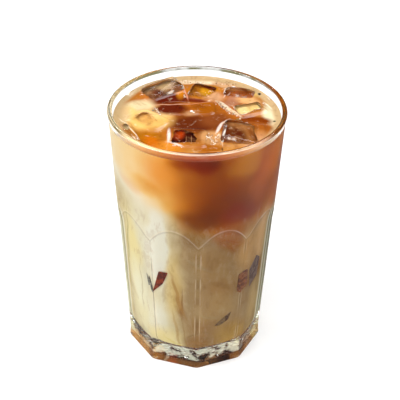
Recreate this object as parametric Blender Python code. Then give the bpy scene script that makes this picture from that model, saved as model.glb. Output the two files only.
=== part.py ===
"""Iced coffee in its nine-sided glass: the glass, a coffee layer over a milky layer, and the ice at the top.

Units are metres, +Z is up and the origin is the centre of the glass's foot.
An azimuth is measured from the front of the glass, -Y, and grows towards +X.
"""

import math

import bmesh
import bpy
from mathutils import Euler, Matrix, Vector, noise

# Glass, outside
GLASS_HEIGHT = 0.1376
RIM_RADIUS = 0.0442
BEAD = 0.0003                # how far the rim stands out from the wall below it
BEAD_DROP = 0.0040           # how far below the top the bead runs out
FOOT_HEIGHT = 0.0044         # plain upright band round the foot
FOOT_TOP_RADIUS = 0.0352     # at the corners, where the sides begin
FOOT_BOTTOM_RADIUS = 0.0355
SIDE_COUNT = 9
FRONT_RIB_AZIMUTH = 2.65     # degrees
RIB_TOP = 0.0816             # where neighbouring arches meet
ARCH_TOP = 0.0914            # where a flat side runs out at its middle
RIB_TRIM = 0.00015           # the ribs stand this far inside the cone
SIDE_BLEND = 0.0012          # softens the fold between a side and its arch

# Glass, inside
LIP_RADIUS = 0.00125
KNEE_HEIGHT = 0.0914         # the inner wall is a little steeper below this
KNEE_RADIUS = 0.0371
LOW_HEIGHT = 0.0200
LOW_RADIUS = 0.0319
FLOOR_HEIGHT = 0.0095
CORNER_RADIUS = 0.0080
RECESS_RADIUS = 0.0275
RECESS_EDGE = 0.0250
RECESS_DEPTH = 0.0016

# Drink
GAP = 0.0003                 # left between pieces that touch
DRINK_LEVEL = 0.1316
LAYER_HEIGHT = 0.0915        # middle of the wavy face between coffee and milk
LAYER_SLOPE = -0.125         # it falls towards +X
LAYER_WAVE = 0.0016
WAVE_LENGTH = 0.0360
LAYER_RINGS = 5              # rings of faces in the wavy face

TURN_STEPS = 72
CORNER_STEPS = 7
LIP_STEPS = 8
ARCH_STEPS = 8
SHARP_ANGLE = math.radians(22)
SAME_POINT = 1e-6            # points closer than this are one
CUTTER_MARGIN = 0.002        # how far a cutter reaches past the glass

# Ice: place of the middle, size, height of its top above the drink, then yaw, pitch and roll in degrees.
# Pitch lifts the far edge and roll lifts the left edge.
ICE = {
    "ice_back_left": {"at": (-0.0176, 0.0268), "size": (0.0215, 0.0125, 0.0100), "rise": 0.0038,
                      "turn": (35, 11, -4)},
    "ice_back_middle": {"at": (0.0024, 0.0256), "size": (0.0150, 0.0150, 0.0130), "rise": 0.0014,
                        "turn": (-20, 3, 4)},
    "ice_back_right": {"at": (0.0214, 0.0244), "size": (0.0170, 0.0092, 0.0110), "rise": 0.0024,
                       "turn": (-14, 4, -3)},
    "ice_right": {"at": (0.0256, 0.0093), "size": (0.0162, 0.0118, 0.0120), "rise": 0.0014,
                  "turn": (25, 2, 2)},
    "ice_front_right": {"at": (0.0216, -0.0155), "size": (0.0210, 0.0205, 0.0130), "rise": 0.0034,
                        "turn": (-6, -3, 12)},
    "ice_front": {"at": (-0.0047, -0.0195), "size": (0.0180, 0.0155, 0.0120), "rise": 0.0012,
                  "turn": (-4, 0, 0)},
    "ice_left": {"at": (-0.0236, -0.0033), "size": (0.0180, 0.0130, 0.0130), "rise": 0.0007,
                 "turn": (-40, 0, 2)},
    "ice_left_edge": {"at": (-0.0335, -0.0134), "size": (0.0145, 0.0058, 0.0110), "rise": 0.0010,
                      "turn": (-70, 0, 0)},
    "ice_middle": {"at": (-0.0048, 0.0086), "size": (0.0265, 0.0105, 0.0120), "rise": 0.0006,
                   "turn": (2, 2, 0)},
}
ICE_ROUNDING = 0.0030
LEAST_FLAT = 0.42            # share of a block's least size that rounding may take from each side
ICE_ROUND_STEPS = 3
ICE_MELT = 0.0006            # how far melting has moved the faces in and out
MELT_LENGTH = 0.0110
MELT_STEP = Vector((7.3, 3.1, 1.0))   # moves from one block's melting pattern to the next one's


def wall_radius(z):
    """Outer radius of the plain cone at a height."""
    share = (z - FOOT_HEIGHT) / (GLASS_HEIGHT - FOOT_HEIGHT)
    return FOOT_TOP_RADIUS + share * (RIM_RADIUS - BEAD - FOOT_TOP_RADIUS)


def side_radius(z):
    """Distance from the axis to the middle of a flat side at a height."""
    half = math.pi / SIDE_COUNT
    if z < FOOT_HEIGHT:
        share = max(z, 0) / FOOT_HEIGHT
        corner = FOOT_BOTTOM_RADIUS + share * (FOOT_TOP_RADIUS - FOOT_BOTTOM_RADIUS)
        return corner * math.cos(half)
    flat = (wall_radius(z) - RIB_TRIM) * math.cos(half)
    depth = (wall_radius(RIB_TOP) - RIB_TRIM) * (1 - math.cos(half))
    arch = wall_radius(z) - depth * (ARCH_TOP - z) / (ARCH_TOP - RIB_TOP)
    overlap = max(SIDE_BLEND - abs(flat - arch), 0)
    return max(flat, arch) + overlap ** 2 / (4 * SIDE_BLEND)


def inner_wall(clearance=0.0):
    """Points (radius, height) up the inside of the glass, from the middle of its floor to the rim."""
    lean = math.atan((KNEE_RADIUS - LOW_RADIUS) / (KNEE_HEIGHT - LOW_HEIGHT))
    centre_z = FLOOR_HEIGHT + CORNER_RADIUS
    centre_r = LOW_RADIUS + (centre_z - LOW_HEIGHT) * math.tan(lean) - CORNER_RADIUS / math.cos(lean)
    round_radius = CORNER_RADIUS - clearance
    points = [(0.0, FLOOR_HEIGHT + clearance), (centre_r * 0.5, FLOOR_HEIGHT + clearance)]
    for step in range(CORNER_STEPS + 1):
        angle = -math.pi / 2 + (math.pi / 2 - lean) * step / CORNER_STEPS
        points.append((centre_r + round_radius * math.cos(angle), centre_z + round_radius * math.sin(angle)))
    points.append((KNEE_RADIUS - clearance, KNEE_HEIGHT))
    points.append((RIM_RADIUS - 2 * LIP_RADIUS - clearance, GLASS_HEIGHT - LIP_RADIUS))
    return points


def radius_at(points, z):
    """Radius of a wall given by points, at a height."""
    for (r_low, z_low), (r_high, z_high) in zip(points, points[1:]):
        if z_low < z <= z_high:
            return r_low + (r_high - r_low) * (z - z_low) / (z_high - z_low)
    return points[-1][0]


def layer_face(x, y):
    """Height of the wavy face between the coffee and the milk."""
    wave = noise.noise(Vector((x, y, 0)) / WAVE_LENGTH)
    return LAYER_HEIGHT + LAYER_SLOPE * x + LAYER_WAVE * wave


def material(name, colour, roughness, transmission=0.0):
    """A Principled material in the piece's own colour."""
    made = bpy.data.materials.new(name)
    made.use_nodes = True
    shader = made.node_tree.nodes["Principled BSDF"]
    shader.inputs["Base Color"].default_value = (*colour, 1)
    shader.inputs["Roughness"].default_value = roughness
    shader.inputs["Metallic"].default_value = 0
    shader.inputs["Transmission Weight"].default_value = transmission
    made.diffuse_color = (*colour, 1 - 0.6 * transmission)
    return made


def add_object(name, bm, surface=None):
    """Makes an object of a bmesh, with soft round faces and crisp edges."""
    mesh = bpy.data.meshes.new(name)
    bm.to_mesh(mesh)
    bm.free()
    mesh.shade_smooth()
    mesh.set_sharp_from_angle(angle=SHARP_ANGLE)
    if surface:
        mesh.materials.append(surface)
    made = bpy.data.objects.new(name, mesh)
    bpy.context.scene.collection.objects.link(made)
    return made


def turned(points):
    """Spins points (radius, height) round the Z axis into a closed body."""
    bm = bmesh.new()
    verts = [bm.verts.new((r, 0, z)) for r, z in points]
    edges = [bm.edges.new(pair) for pair in zip(verts, verts[1:])]
    bmesh.ops.spin(bm, geom=verts + edges, cent=(0, 0, 0), axis=(0, 0, 1), angle=2 * math.pi,
                   steps=TURN_STEPS, use_merge=True)
    bmesh.ops.remove_doubles(bm, verts=bm.verts[:], dist=SAME_POINT)
    bmesh.ops.recalc_face_normals(bm, faces=bm.faces[:])
    return bm


def as_cutter(cutter):
    """Marks an object as a cutter, which isn't a piece of the drink."""
    cutter.hide_render = True
    cutter.display_type = "WIRE"


def cut(target, cutter):
    """Takes a cutter's shape out of an object."""
    modifier = target.modifiers.new(cutter.name, "BOOLEAN")
    modifier.operation = "DIFFERENCE"
    modifier.solver = "EXACT"
    modifier.object = cutter


def make_glass():
    """The round glass with nine flat sides pressed into it, each ending in an arch."""
    outside_foot = FOOT_BOTTOM_RADIUS + RIB_TRIM
    points = [(0.0, RECESS_DEPTH), (RECESS_EDGE, RECESS_DEPTH), (RECESS_RADIUS, 0.0), (outside_foot, 0.0),
              (outside_foot, FOOT_HEIGHT), (wall_radius(ARCH_TOP), ARCH_TOP),
              (wall_radius(GLASS_HEIGHT - BEAD_DROP), GLASS_HEIGHT - BEAD_DROP)]
    for step in range(LIP_STEPS + 1):
        angle = math.pi * step / LIP_STEPS
        points.append((RIM_RADIUS - LIP_RADIUS + LIP_RADIUS * math.cos(angle),
                       GLASS_HEIGHT - LIP_RADIUS + LIP_RADIUS * math.sin(angle)))
    points += reversed(inner_wall()[:-1])
    glass = add_object("glass", turned(points), material("clear_glass", (0.92, 0.96, 0.94), 0.03, 1.0))

    cutter_mesh = side_cutter_mesh()
    for side in range(SIDE_COUNT):
        cutter = bpy.data.objects.new(f"side_cutter_{side + 1}", cutter_mesh)
        azimuth = FRONT_RIB_AZIMUTH + (side + 0.5) * 360 / SIDE_COUNT
        cutter.rotation_euler.z = math.radians(azimuth - 90)
        bpy.context.scene.collection.objects.link(cutter)
        as_cutter(cutter)
        cut(glass, cutter)


def side_cutter_mesh():
    """A block along +X whose inner face follows one flat side and its arch."""
    bottom = -CUTTER_MARGIN
    top = ARCH_TOP + 2 * CUTTER_MARGIN
    outside = RIM_RADIUS + CUTTER_MARGIN
    half_width = RIM_RADIUS * math.tan(math.pi / SIDE_COUNT) + CUTTER_MARGIN
    curve_start = RIB_TOP - 3 * CUTTER_MARGIN
    heights = [0.0, FOOT_HEIGHT]
    for step in range(ARCH_STEPS + 1):
        heights.append(curve_start + (top - curve_start) * step / ARCH_STEPS)
    inner = [(side_radius(0), bottom)] + [(side_radius(z), z) for z in heights]
    outline = inner + [(outside, top), (outside, bottom)]
    bm = bmesh.new()
    face = bm.faces.new([bm.verts.new((r, -half_width, z)) for r, z in outline])
    moved = bmesh.ops.extrude_face_region(bm, geom=[face])["geom"]
    bmesh.ops.translate(bm, verts=[v for v in moved if isinstance(v, bmesh.types.BMVert)],
                        vec=(0, 2 * half_width, 0))
    bmesh.ops.recalc_face_normals(bm, faces=bm.faces[:])
    mesh = bpy.data.meshes.new("side_cutter")
    bm.to_mesh(mesh)
    bm.free()
    return mesh


def make_wavy(bm, wall, offset):
    """Moves the points of a flat layer face onto the wavy one, and its outermost ring along the wall."""
    edge_radius = radius_at(wall, LAYER_HEIGHT)
    for vert in bm.verts:
        if abs(vert.co.z - LAYER_HEIGHT) > SAME_POINT:
            continue
        vert.co.z = layer_face(vert.co.x, vert.co.y) + offset
        if vert.co.xy.length > edge_radius - SAME_POINT:
            vert.co.xy *= radius_at(wall, vert.co.z) / edge_radius


def ring_radii(outer, count):
    """Radii from the wall in to the axis, for a face made of rings."""
    return [outer * (count - step) / count for step in range(count + 1)]


def make_milk():
    """The milky layer, from the glass's floor up to the wavy face."""
    wall = inner_wall(GAP)
    points = [(r, z) for r, z in wall if z < LAYER_HEIGHT]
    points += [(r, LAYER_HEIGHT) for r in ring_radii(radius_at(wall, LAYER_HEIGHT), LAYER_RINGS)]
    bm = turned(points)
    make_wavy(bm, wall, -GAP / 2)
    add_object("milk_layer", bm, material("milky_coffee", (0.66, 0.50, 0.31), 0.35))


def make_coffee(cutters):
    """The coffee layer, up to the drink's level, cut round the ice."""
    wall = inner_wall(GAP)
    middle = (LAYER_HEIGHT + DRINK_LEVEL) / 2
    points = [(r, LAYER_HEIGHT) for r in reversed(ring_radii(radius_at(wall, LAYER_HEIGHT), LAYER_RINGS))]
    points += [(radius_at(wall, z), z) for z in (middle, DRINK_LEVEL)]
    points += [(0.0, DRINK_LEVEL)]
    bm = turned(points)
    make_wavy(bm, wall, GAP / 2)
    coffee = add_object("coffee_layer", bm, material("coffee", (0.48, 0.22, 0.06), 0.2))
    for cutter in cutters:
        cut(coffee, cutter)


def ice_block(size, place, seed, grow=0.0):
    """A melted block of ice; grow makes it larger all round, as the space that it sits in."""
    bm = bmesh.new()
    bmesh.ops.create_cube(bm, size=1)
    bmesh.ops.scale(bm, vec=size, verts=bm.verts[:])
    rounding = min(ICE_ROUNDING, LEAST_FLAT * min(size))
    bmesh.ops.bevel(bm, geom=bm.edges[:], offset=rounding, offset_type="OFFSET", affect="EDGES",
                    segments=ICE_ROUND_STEPS, profile=0.5, material=-1)
    bm.normal_update()
    for vert in bm.verts:
        melt = noise.noise(vert.co / MELT_LENGTH + seed * MELT_STEP)
        vert.co += vert.normal * (ICE_MELT * melt + grow)
    bmesh.ops.transform(bm, matrix=place, verts=bm.verts[:])
    bmesh.ops.recalc_face_normals(bm, faces=bm.faces[:])
    return bm


def ice_place(block):
    """Where an ice block stands: its tilted top reaches its rise above the drink."""
    yaw, pitch, roll = (math.radians(angle) for angle in block["turn"])
    turn = Matrix.Rotation(yaw, 4, "Z") @ Euler((pitch, roll, 0)).to_matrix().to_4x4()
    x, y = block["at"]
    size = block["size"]
    top = DRINK_LEVEL + block["rise"]
    centre = Vector((x, y, top - size[2] / 2 * math.cos(pitch) * math.cos(roll)))
    tilt_lift = (size[0] * abs(math.sin(roll)) + size[1] * abs(math.sin(pitch))) / 2
    return Matrix.Translation(centre - Vector((0, 0, max(tilt_lift - ICE_ROUNDING / 2, 0)))) @ turn


def make_ice():
    """Every block of ice in its own object, and the cutters that make room for them in the coffee."""
    clear_ice = material("clear_ice", (0.80, 0.62, 0.40), 0.08, 0.8)
    cutters = []
    for seed, (name, block) in enumerate(ICE.items()):
        place = ice_place(block)
        add_object(name, ice_block(block["size"], place, seed), clear_ice)
        cutter = add_object("space_for_" + name, ice_block(block["size"], place, seed, GAP))
        as_cutter(cutter)
        cutters.append(cutter)
    return cutters


for old in list(bpy.data.objects):
    bpy.data.objects.remove(old, do_unlink=True)
make_glass()
make_milk()
make_coffee(make_ice())
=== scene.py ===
import math
import random

import bmesh
import bpy
from mathutils import Euler, Matrix, Vector, noise


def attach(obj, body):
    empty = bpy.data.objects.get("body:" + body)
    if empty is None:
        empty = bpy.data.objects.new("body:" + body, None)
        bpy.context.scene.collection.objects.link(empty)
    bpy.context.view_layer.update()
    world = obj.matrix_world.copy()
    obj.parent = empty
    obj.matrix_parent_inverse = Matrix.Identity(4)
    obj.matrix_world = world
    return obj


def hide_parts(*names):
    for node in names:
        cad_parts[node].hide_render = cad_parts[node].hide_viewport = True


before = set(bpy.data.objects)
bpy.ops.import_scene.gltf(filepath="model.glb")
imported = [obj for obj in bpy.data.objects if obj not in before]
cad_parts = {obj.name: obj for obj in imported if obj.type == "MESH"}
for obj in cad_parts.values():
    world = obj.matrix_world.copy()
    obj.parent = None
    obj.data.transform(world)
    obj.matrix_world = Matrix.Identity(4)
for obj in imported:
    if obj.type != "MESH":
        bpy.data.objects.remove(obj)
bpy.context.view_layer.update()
print("frame loaded")

mm = 0.001
sharpAngle = 40
joined = 1e-6  # points nearer than this are one point


# One socket of a node tree, with the sums that the materials use
class Wire:
    def __init__(self, shade, socket):
        self.shade = shade
        self.socket = socket

    def math(self, operation, *others):
        values = {index + 1: other for index, other in enumerate(others)}
        return self.shade.node("ShaderNodeMath", {"operation": operation}, {0: self, **values})

    def __add__(self, other):
        return self.math("ADD", other)

    __radd__ = __add__

    def __mul__(self, other):
        return self.math("MULTIPLY", other)

    __rmul__ = __mul__

    def __sub__(self, other):
        return self.math("SUBTRACT", other)

    def __rsub__(self, other):
        return self * -1 + other

    # 0 below low, 1 above high, smooth between; high may be the smaller one
    def step(self, low, high):
        settings = {"interpolation_type": "SMOOTHSTEP"}
        return self.shade.node("ShaderNodeMapRange", settings,
                               {"Value": self, "From Min": low, "From Max": high})

    # 1 inside a band; each of its edges is a pair for step
    def band(self, lowEdge, highEdge):
        return self.step(*lowEdge) * self.step(*highEdge)


# A material made of nodes
class Shade:
    def __init__(self, name, kept=bpy.data.materials):
        self.material = kept.new(name)
        self.material.use_nodes = True
        self.tree = self.material.node_tree
        self.shader = self.tree.nodes.get("Principled BSDF")

    def node(self, kind, settings=None, values=None, output=0):
        made = self.tree.nodes.new(kind)
        for name, setting in (settings or {}).items():
            if name == "stops":
                self.setStops(made.color_ramp, *setting)
            else:
                setattr(made, name, setting)
        for name, value in (values or {}).items():
            self.feed(made.inputs[name], value)
        return Wire(self, made.outputs[output])

    def feed(self, socket, value):
        if isinstance(value, Wire):
            self.tree.links.new(value.socket, socket)
        else:
            socket.default_value = value

    def setStops(self, ramp, stops, between):
        ramp.interpolation = between
        ramp.elements.remove(ramp.elements[1])
        ramp.elements[0].position = stops[0][0]
        ramp.elements[0].color = rgb(stops[0][1])
        for place, shade in stops[1:]:
            ramp.elements.new(place).color = rgb(shade)

    def ramp(self, value, stops, between="B_SPLINE"):
        return self.node("ShaderNodeValToRGB", {"stops": (stops, between)}, {0: value})

    # first colour where the mask is 0, second where it is 1
    def mix(self, mask, first, second, blend="MIX"):
        settings = {"data_type": "RGBA", "blend_type": blend, "clamp_factor": True}
        first = rgb(first) if isinstance(first, str) else first
        second = rgb(second) if isinstance(second, str) else second
        return self.node("ShaderNodeMix", settings, {0: mask, 6: first, 7: second}, 2)

    def grain(self, where, scale, detail=2.0, rough=0.5):
        return self.node("ShaderNodeTexNoise", {}, {"Vector": where, "Scale": scale, "Detail": detail,
                                                    "Roughness": rough})

    def vector(self, operation, first, second=None):
        values = {0: first} if second is None else {0: first, 1: second}
        output = 1 if operation in ("LENGTH", "DOT_PRODUCT") else 0
        return self.node("ShaderNodeVectorMath", {"operation": operation}, values, output)

    # 1 inside an ellipse on a field, 0 outside it; the field's third number is 1
    def spot(self, field, middle, size, turn, soft):
        distances = []
        for extra, half in ((0, size[0]), (90, size[1])):
            angle = math.radians(turn + extra)
            across, up = math.cos(angle) / half, math.sin(angle) / half
            start = -(middle[0] * across + middle[1] * up)
            distances.append(self.vector("DOT_PRODUCT", field, (across, up, start)))
        return self.vector("LENGTH", self.join(*distances)).step(1 + soft, 1 - soft)

    # 1 along a line between two places of a field
    def line(self, field, first, second, width, soft=0.5):
        middle = ((first[0] + second[0]) / 2, (first[1] + second[1]) / 2)
        across, up = second[0] - first[0], second[1] - first[1]
        size = (math.hypot(across, up) / 2 + width / 2, width / 2)
        return self.spot(field, middle, size, math.degrees(math.atan2(up, across)), soft)

    # lays spots of colour over a colour; a spot without a weight covers it fully
    def paintSpots(self, field, spots, under):
        for middle, size, turn, soft, colour, *weight in spots:
            mask = self.spot(field, middle, size, turn, soft)
            under = self.mix(mask * weight[0] if weight else mask, under, colour)
        return under

    def paintLines(self, field, lines, under):
        for first, second, width, colour, weight in lines:
            under = self.mix(self.line(field, first, second, width) * weight, under, colour)
        return under

    # darkens a colour in one part of a grain and lightens it in another: reach, weight and colour of each
    def stain(self, grain, dark, pale, under, where=1):
        reach, weight, colour = dark
        under = self.mix(grain.step(*reach) * where * weight, under, colour, "MULTIPLY")
        reach, weight, colour = pale
        return self.mix(grain.step(*reach) * where * weight, under, colour)

    # how much stronger a colour gets, spot by spot
    def strengthen(self, field, spots, strength):
        for middle, size, turn, soft, change in spots:
            strength = strength + self.spot(field, middle, size, turn, soft) * change
        return strength

    def join(self, x, y, z=0.0):
        return self.node("ShaderNodeCombineXYZ", {}, {0: x, 1: y, 2: z})

    def split(self, vector):
        made = self.tree.nodes.new("ShaderNodeSeparateXYZ")
        self.feed(made.inputs[0], vector)
        return [Wire(self, output) for output in made.outputs]

    def place(self):
        made = self.tree.nodes.new("ShaderNodeTexCoord")
        return Wire(self, made.outputs["Object"])

    # how far a face looks up: 1 for level, 0 for upright
    def upward(self):
        made = self.tree.nodes.new("ShaderNodeNewGeometry")
        return self.split(Wire(self, made.outputs["Normal"]))[2]

    def bump(self, height, strength, distance):
        values = {"Height": height, "Strength": strength, "Distance": distance}
        return self.node("ShaderNodeBump", {}, values)

    # covers the material's own shader with another one by a mask
    def blend(self, mask, cover):
        last = self.tree.nodes.get("Material Output")
        own = Wire(self, self.shader.outputs[0])
        mixed = self.node("ShaderNodeMixShader", {}, {0: mask, 1: own, 2: cover})
        self.feed(last.inputs["Surface"], mixed)
        return self.material

    def finish(self, **sockets):
        for name, value in sockets.items():
            self.feed(self.shader.inputs[name.replace("_", " ")], value)
        return self.material


# "#rrggbb" as it looks on a screen, in the renderer's linear numbers
def rgb(text):
    shares = [int(text[start:start + 2], 16) / 255 for start in (1, 3, 5)]
    return (*[share / 12.92 if share <= 0.04045 else ((share + 0.055) / 1.055) ** 2.4 for share in shares], 1)


def addPiece(name, bm, look, slotName, *nodes):
    mesh = bpy.data.meshes.new(name)
    bm.to_mesh(mesh)
    bm.free()
    mesh.shade_smooth()
    mesh.set_sharp_from_angle(angle=math.radians(sharpAngle))
    mesh.materials.append(look)
    piece = bpy.data.objects.new(name, mesh)
    bpy.context.scene.collection.objects.link(piece)
    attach(piece, "root")
    if nodes:
        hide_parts(*nodes)
    return piece


# Points (radius, height) spun round the Z axis from an azimuth: one sector is spun, then copied round
def spun(points, steps, start=0.0, sectors=9):
    bm = bmesh.new()
    direction = math.radians(start) - math.pi / 2
    verts = [bm.verts.new((r * math.cos(direction), r * math.sin(direction), z)) for r, z in points]
    edges = [bm.edges.new(pair) for pair in zip(verts, verts[1:])]
    turn = 2 * math.pi / sectors
    bmesh.ops.spin(bm, geom=verts + edges, cent=(0, 0, 0), axis=(0, 0, 1), angle=turn, steps=steps // sectors)
    sector = bm.verts[:] + bm.edges[:] + bm.faces[:]
    for number in range(1, sectors):
        copied = bmesh.ops.duplicate(bm, geom=sector)["geom"]
        verts = [item for item in copied if isinstance(item, bmesh.types.BMVert)]
        bmesh.ops.rotate(bm, verts=verts, cent=(0, 0, 0), matrix=Matrix.Rotation(turn * number, 3, "Z"))
    bmesh.ops.remove_doubles(bm, verts=bm.verts[:], dist=joined)
    bmesh.ops.recalc_face_normals(bm, faces=bm.faces[:])
    return bm


# Evenly spaced values from low to high, both ends with them
def between(low, high, count):
    return [low + (high - low) * step / count for step in range(count + 1)]


# The smaller of two values, rounded off where they meet
def smaller(first, second, blend):
    overlap = max(blend - abs(first - second), 0)
    return min(first, second) - overlap ** 2 / (4 * blend)


# Glass
glass = {
    "height": 0.1376, "rimRadius": 0.0442, "bead": 0.0003, "beadDrop": 0.0040, "lip": 0.00125,
    "footHeight": 0.0044, "footTopRadius": 0.0352, "footBottomRadius": 0.0355, "footEdge": 0.0006,
    "sides": 9, "frontRib": 2.65, "ribTop": 0.0816, "archTop": 0.0914, "ribTrim": 0.00015,
    "sideBlend": 0.0012, "archEdge": 0.00014, "ribEdge": 0.00035,
    "archSpare": 0.003, "footSpare": 0.001, "wallSpare": 0.0005,
    "kneeHeight": 0.0914, "kneeRadius": 0.0371, "lowHeight": 0.0200, "lowRadius": 0.0319,
    "floor": 0.0095, "corner": 0.0080, "recessRadius": 0.0275, "recessEdge": 0.0250, "recessDepth": 0.0016,
    "stipple": 0.00045, "stippleLength": 0.0021, "stippleLift": 0.3, "stippleRings": 34,
    "stippleEdge": 0.0003,
    "spinSteps": 450, "edgeAngles": (30, 60, 90), "lipSteps": 18,
    "footRows": (0.0012, 6), "sideRows": (0.0050, 0.0740, 22), "archRows": (0.0745, 0.0919, 42),
    "bandRows": (0.0935, 14), "innerRows": (12, 10),
}

# Finish of the glass: colours, the strength of the painted glows on its lip and foot, and what the glass does
# where it is seen edge on
glassFinish = {
    "clear": (0.975, 0.99, 0.98, 1), "bend": 1.5, "mirror": (0.15, 0.15, 0.15, 1), "glow": 0.85,
    "rippleGrain": (55.0, 2.0), "rippleStrength": 0.06, "rippleDepth": 0.002,
    "edgeOn": (0.30, 0.75), "edgeClear": 0.85,
}

# Painted light on the lip, as dark painted reflections, a painted glow and a painted highlight: heights and
# distances from the axis in millimetres, the front in metres
lipPaintedLight = {
    "grain": (90.0, 2.0), "uneven": (0.34, 0.56), "front": (-0.022, -0.034), "outside": (43.2, 43.4),
    "lowRing": ((135.1, 135.4), (136.1, 135.8)), "highRing": ((136.75, 136.95), (137.45, 137.3)),
    "olive": "#302C14", "oliveGlow": "#3E3C28", "oliveGlowWeight": 0.6, "oliveUneven": 0.3,
    "bandOutside": (43.0, 43.3), "bandHeight": ((134.6, 135.4), (137.2, 136.6)), "bandGlow": "#624A30",
    "lightHeight": (136.6, 137.0), "lightGlow": "#EAD2B0", "lightUneven": 0.4,
}

# Painted light on the foot and the sides just above it, in the same units
footPaintedLight = {
    "grain": (1.3, 3.0, 0.6), "across": 150, "up": 0.22,
    "height": ((4.3, 4.9), (12.8, 11.6)), "outside": (30.0, 31.0),
    "dark": (0.47, 0.37), "darkColour": "#28341C", "darkWeight": 0.85,
    "silver": (0.40, 0.56), "silverGlow": "#BCC4B0",
    "streakGrain": (1.2, 2.0, 0.7), "streakAcross": 900, "streakUp": 0.10, "streak": (0.50, 0.62),
    "sides": (30.0, 33.5), "sideHeight": ((9, 13), (50, 30)), "sideGlow": "#D4E0D4", "sideWeight": 0.4,
    "below": (4.0, 3.4), "belowOutside": (26.0, 30.0),
    "amber": "#A8814A", "amberWeight": 0.75, "amberGlow": "#54391A",
    "blackGrain": (80.0, 1.0), "black": (0.52, 0.58), "blackRight": (-0.002, 0.006),
    "blackColour": "#140E08", "blackWeight": 0.9,
}


# Radius of the round wall outside
def wallRadius(z):
    share = (z - glass["footHeight"]) / (glass["height"] - glass["footHeight"])
    return glass["footTopRadius"] + share * (glass["rimRadius"] - glass["bead"] - glass["footTopRadius"])


# Distance of a flat side from the axis, with its arch cut off at the top
def sideRadius(z):
    half = math.pi / glass["sides"]
    if z < glass["footHeight"]:
        share = max(z, 0) / glass["footHeight"]
        corner = glass["footBottomRadius"] + share * (glass["footTopRadius"] - glass["footBottomRadius"])
        return corner * math.cos(half)
    flat = (wallRadius(z) - glass["ribTrim"]) * math.cos(half)
    depth = (wallRadius(glass["ribTop"]) - glass["ribTrim"]) * (1 - math.cos(half))
    arch = wallRadius(z) - depth * (glass["archTop"] - z) / (glass["archTop"] - glass["ribTop"])
    return -smaller(-flat, -arch, glass["sideBlend"])


# Points (radius, height) of the wall inside, from the middle of the floor to the lip
def innerWall(clearance=0.0, cornerSteps=12):
    lean = math.atan((glass["kneeRadius"] - glass["lowRadius"]) / (glass["kneeHeight"] - glass["lowHeight"]))
    centreZ = glass["floor"] + glass["corner"]
    centreR = (glass["lowRadius"] + (centreZ - glass["lowHeight"]) * math.tan(lean)
               - glass["corner"] / math.cos(lean))
    roundRadius = glass["corner"] - clearance
    points = [(0.0, glass["floor"] + clearance), (centreR * 0.5, glass["floor"] + clearance)]
    for share in between(0, 1, cornerSteps):
        angle = -math.pi / 2 + (math.pi / 2 - lean) * share
        points.append((centreR + roundRadius * math.cos(angle), centreZ + roundRadius * math.sin(angle)))
    points.append((glass["kneeRadius"] - clearance, glass["kneeHeight"]))
    points.append((glass["rimRadius"] - 2 * glass["lip"] - clearance, glass["height"] - glass["lip"]))
    return points


# Radius of an outline at a height
def radiusAt(points, z):
    for (rLow, zLow), (rHigh, zHigh) in zip(points, points[1:]):
        if zLow < z <= zHigh:
            return rLow + (rHigh - rLow) * (z - zLow) / (zHigh - zLow)
    return points[-1][0]


# The nine flat sides and their arches pressed into the round wall
def pressSides(bm, wall):
    halfTurn = math.pi / glass["sides"]
    for vert in bm.verts:
        x, y, z = vert.co
        radius = math.hypot(x, y)
        if z > glass["archTop"] + glass["archSpare"] or radius < glass["recessRadius"] + glass["footSpare"]:
            continue
        if radius < radiusAt(wall, z) + glass["wallSpare"] and z > glass["floor"]:
            continue
        azimuth = math.atan2(x, -y) - math.radians(glass["frontRib"])
        turns = azimuth / (2 * halfTurn)
        fromMiddle = (turns - math.floor(turns) - 0.5) * 2 * halfTurn
        side = sideRadius(z)
        nearest = side / math.cos(abs(fromMiddle))
        second = side / math.cos(2 * halfTurn - abs(fromMiddle))
        pressed = smaller(nearest, second, glass["ribEdge"])
        pressed = smaller(pressed, radius, glass["archEdge"])
        vert.co.x *= pressed / radius
        vert.co.y *= pressed / radius


# Painted light on the lip: uneven olive rings of painted dark reflection round its outer edge at the sides
# and back, and at the front a painted glowing tan band with a painted cream highlight line; masks with
# colours, then with glows
def paintLipLight(shade, place, y, height, fromAxis):
    lip = lipPaintedLight
    uneven = shade.grain(place, *lip["grain"]).step(*lip["uneven"])
    atFront = y.step(*lip["front"])
    rings = height.band(*lip["lowRing"]) + height.band(*lip["highRing"])
    rings = rings * fromAxis.step(*lip["outside"]) * (1 - atFront)
    outside = fromAxis.step(*lip["bandOutside"])
    band = height.band(*lip["bandHeight"]) * outside
    light = height.step(*lip["lightHeight"]) * outside
    light = light * (uneven * lip["lightUneven"] + (1 - lip["lightUneven"]))
    return [
        (rings * (uneven * lip["oliveUneven"] + (1 - lip["oliveUneven"])), lip["olive"]),
    ], [
        (rings * lip["oliveGlowWeight"], lip["oliveGlow"]),
        (atFront * band, lip["bandGlow"]),
        (atFront * light, lip["lightGlow"]),
    ]


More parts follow.
